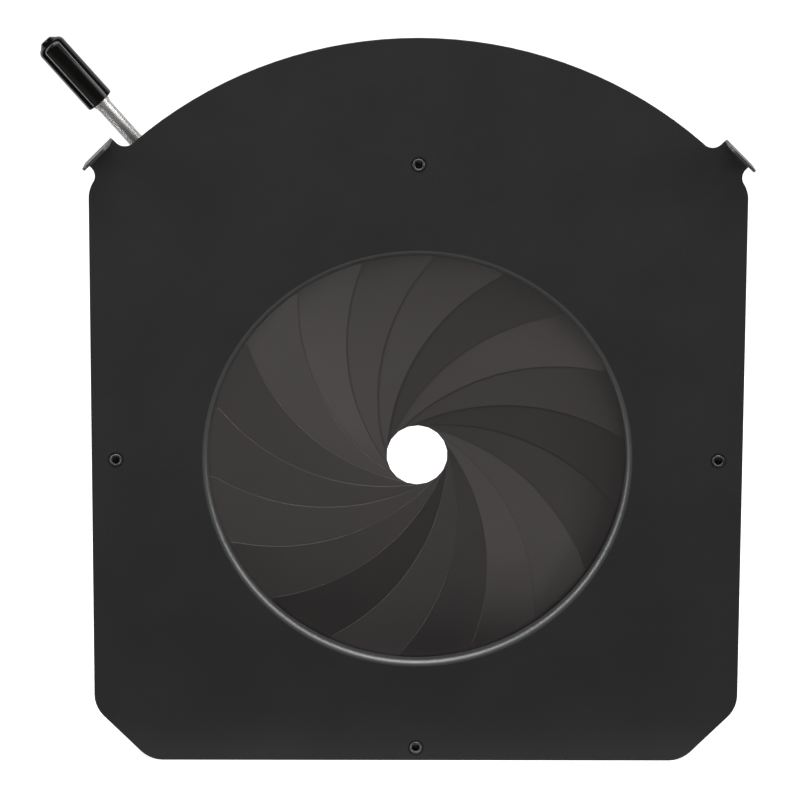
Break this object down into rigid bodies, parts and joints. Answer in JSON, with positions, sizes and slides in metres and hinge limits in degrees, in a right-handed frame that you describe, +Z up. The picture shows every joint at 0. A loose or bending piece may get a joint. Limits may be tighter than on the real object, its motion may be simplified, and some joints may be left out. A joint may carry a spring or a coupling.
{
  "type": "iris diaphragm",
  "caption": "Drop-in iris for a profile spotlight gate: black arched plate with finger tabs, curved overlapping leaves and a side lever that opens and closes the round aperture.",
  "frame": {"origin": "on the optical axis, in the plane of the drawn lip's rear edge", "axes": "-Y out of the front of the plate towards the viewer, +Y with the light towards the back, +Z up towards the tabs, +X to the right seen from the front"},
  "size_m": [0.1482, 0.0208, 0.1565],
  "materials": {
    "black_plate": "fine satin black powder coat on pressed steel",
    "rivet_steel": "blackened semi-tubular steel rivets",
    "blackened_ring": "chemically blackened steel, fine machining marks",
    "black_housing": "matt black paint",
    "black_screw": "black oxide steel screws",
    "bright_rod": "bright drawn steel",
    "black_knob": "glossy moulded plastic",
    "leaf_steel": "blued spring steel, satin, with faint rubbing arcs",
    "stud_brass": "turned brass"
  },
  "bodies": {
    "frame": {"front_plate": "black_plate", "plate_rivets": "rivet_steel", "base_ring": "blackened_ring", "housing": "black_housing", "housing_screws": "black_screw"},
    "actuator": {"cam_ring": "blackened_ring", "lever_rod": "bright_rod", "lever_knob": "black_knob"},
    "iris_leaf_01": {"leaf_01": "leaf_steel", "leaf_studs_01": "stud_brass"},
    "iris_leaf_02": {"leaf_02": "leaf_steel", "leaf_studs_02": "stud_brass"},
    "iris_leaf_03": {"leaf_03": "leaf_steel", "leaf_studs_03": "stud_brass"},
    "iris_leaf_04": {"leaf_04": "leaf_steel", "leaf_studs_04": "stud_brass"},
    "iris_leaf_05": {"leaf_05": "leaf_steel", "leaf_studs_05": "stud_brass"},
    "iris_leaf_06": {"leaf_06": "leaf_steel", "leaf_studs_06": "stud_brass"},
    "iris_leaf_07": {"leaf_07": "leaf_steel", "leaf_studs_07": "stud_brass"},
    "iris_leaf_08": {"leaf_08": "leaf_steel", "leaf_studs_08": "stud_brass"},
    "iris_leaf_09": {"leaf_09": "leaf_steel", "leaf_studs_09": "stud_brass"},
    "iris_leaf_10": {"leaf_10": "leaf_steel", "leaf_studs_10": "stud_brass"},
    "iris_leaf_11": {"leaf_11": "leaf_steel", "leaf_studs_11": "stud_brass"},
    "iris_leaf_12": {"leaf_12": "leaf_steel", "leaf_studs_12": "stud_brass"},
    "iris_leaf_13": {"leaf_13": "leaf_steel", "leaf_studs_13": "stud_brass"},
    "iris_leaf_14": {"leaf_14": "leaf_steel", "leaf_studs_14": "stud_brass"},
    "iris_leaf_15": {"leaf_15": "leaf_steel", "leaf_studs_15": "stud_brass"},
    "iris_leaf_16": {"leaf_16": "leaf_steel", "leaf_studs_16": "stud_brass"},
    "iris_leaf_17": {"leaf_17": "leaf_steel", "leaf_studs_17": "stud_brass"},
    "iris_leaf_18": {"leaf_18": "leaf_steel", "leaf_studs_18": "stud_brass"}
  },
  "joints": [
    {"name": "lever_turn", "type": "hinge", "parent": "frame", "child": "actuator", "pos_m": [0, 0, 0], "axis": [0, 1, 0], "range_deg": [0, 82.9]},
    {"name": "leaf_pivot_01", "type": "hinge", "parent": "frame", "child": "iris_leaf_01", "pos_m": [0.05538, 0, 0.00828], "axis": [0, 1, 0], "range_deg": [0, 40.82]},
    {"name": "leaf_pivot_02", "type": "hinge", "parent": "frame", "child": "iris_leaf_02", "pos_m": [0.04921, 0, 0.02672], "axis": [0, 1, 0], "range_deg": [0, 40.82]},
    {"name": "leaf_pivot_03", "type": "hinge", "parent": "frame", "child": "iris_leaf_03", "pos_m": [0.03711, 0, 0.04194], "axis": [0, 1, 0], "range_deg": [0, 40.82]},
    {"name": "leaf_pivot_04", "type": "hinge", "parent": "frame", "child": "iris_leaf_04", "pos_m": [0.02052, 0, 0.0521], "axis": [0, 1, 0], "range_deg": [0, 40.82]},
    {"name": "leaf_pivot_05", "type": "hinge", "parent": "frame", "child": "iris_leaf_05", "pos_m": [0.00147, 0, 0.05598], "axis": [0, 1, 0], "range_deg": [0, 40.82]},
    {"name": "leaf_pivot_06", "type": "hinge", "parent": "frame", "child": "iris_leaf_06", "pos_m": [-0.01777, 0, 0.05311], "axis": [0, 1, 0], "range_deg": [0, 40.82]},
    {"name": "leaf_pivot_07", "type": "hinge", "parent": "frame", "child": "iris_leaf_07", "pos_m": [-0.03486, 0, 0.04383], "axis": [0, 1, 0], "range_deg": [0, 40.82]},
    {"name": "leaf_pivot_08", "type": "hinge", "parent": "frame", "child": "iris_leaf_08", "pos_m": [-0.04775, 0, 0.02926], "axis": [0, 1, 0], "range_deg": [0, 40.82]},
    {"name": "leaf_pivot_09", "type": "hinge", "parent": "frame", "child": "iris_leaf_09", "pos_m": [-0.05488, 0, 0.01116], "axis": [0, 1, 0], "range_deg": [0, 40.82]},
    {"name": "leaf_pivot_10", "type": "hinge", "parent": "frame", "child": "iris_leaf_10", "pos_m": [-0.05538, 0, -0.00828], "axis": [0, 1, 0], "range_deg": [0, 40.82]},
    {"name": "leaf_pivot_11", "type": "hinge", "parent": "frame", "child": "iris_leaf_11", "pos_m": [-0.04921, 0, -0.02672], "axis": [0, 1, 0], "range_deg": [0, 40.82]},
    {"name": "leaf_pivot_12", "type": "hinge", "parent": "frame", "child": "iris_leaf_12", "pos_m": [-0.03711, 0, -0.04194], "axis": [0, 1, 0], "range_deg": [0, 40.82]},
    {"name": "leaf_pivot_13", "type": "hinge", "parent": "frame", "child": "iris_leaf_13", "pos_m": [-0.02052, 0, -0.0521], "axis": [0, 1, 0], "range_deg": [0, 40.82]},
    {"name": "leaf_pivot_14", "type": "hinge", "parent": "frame", "child": "iris_leaf_14", "pos_m": [-0.00147, 0, -0.05598], "axis": [0, 1, 0], "range_deg": [0, 40.82]},
    {"name": "leaf_pivot_15", "type": "hinge", "parent": "frame", "child": "iris_leaf_15", "pos_m": [0.01777, 0, -0.05311], "axis": [0, 1, 0], "range_deg": [0, 40.82]},
    {"name": "leaf_pivot_16", "type": "hinge", "parent": "frame", "child": "iris_leaf_16", "pos_m": [0.03486, 0, -0.04383], "axis": [0, 1, 0], "range_deg": [0, 40.82]},
    {"name": "leaf_pivot_17", "type": "hinge", "parent": "frame", "child": "iris_leaf_17", "pos_m": [0.04775, 0, -0.02926], "axis": [0, 1, 0], "range_deg": [0, 40.82]},
    {"name": "leaf_pivot_18", "type": "hinge", "parent": "frame", "child": "iris_leaf_18", "pos_m": [0.05488, 0, -0.01116], "axis": [0, 1, 0], "range_deg": [0, 40.82]}
  ],
  "couplings": [
    {"joint": "leaf_pivot_01", "follows": "lever_turn", "ratio": 0.49227},
    {"joint": "leaf_pivot_02", "follows": "lever_turn", "ratio": 0.49227},
    {"joint": "leaf_pivot_03", "follows": "lever_turn", "ratio": 0.49227},
    {"joint": "leaf_pivot_04", "follows": "lever_turn", "ratio": 0.49227},
    {"joint": "leaf_pivot_05", "follows": "lever_turn", "ratio": 0.49227},
    {"joint": "leaf_pivot_06", "follows": "lever_turn", "ratio": 0.49227},
    {"joint": "leaf_pivot_07", "follows": "lever_turn", "ratio": 0.49227},
    {"joint": "leaf_pivot_08", "follows": "lever_turn", "ratio": 0.49227},
    {"joint": "leaf_pivot_09", "follows": "lever_turn", "ratio": 0.49227},
    {"joint": "leaf_pivot_10", "follows": "lever_turn", "ratio": 0.49227},
    {"joint": "leaf_pivot_11", "follows": "lever_turn", "ratio": 0.49227},
    {"joint": "leaf_pivot_12", "follows": "lever_turn", "ratio": 0.49227},
    {"joint": "leaf_pivot_13", "follows": "lever_turn", "ratio": 0.49227},
    {"joint": "leaf_pivot_14", "follows": "lever_turn", "ratio": 0.49227},
    {"joint": "leaf_pivot_15", "follows": "lever_turn", "ratio": 0.49227},
    {"joint": "leaf_pivot_16", "follows": "lever_turn", "ratio": 0.49227},
    {"joint": "leaf_pivot_17", "follows": "lever_turn", "ratio": 0.49227},
    {"joint": "leaf_pivot_18", "follows": "lever_turn", "ratio": 0.49227}
  ]
}
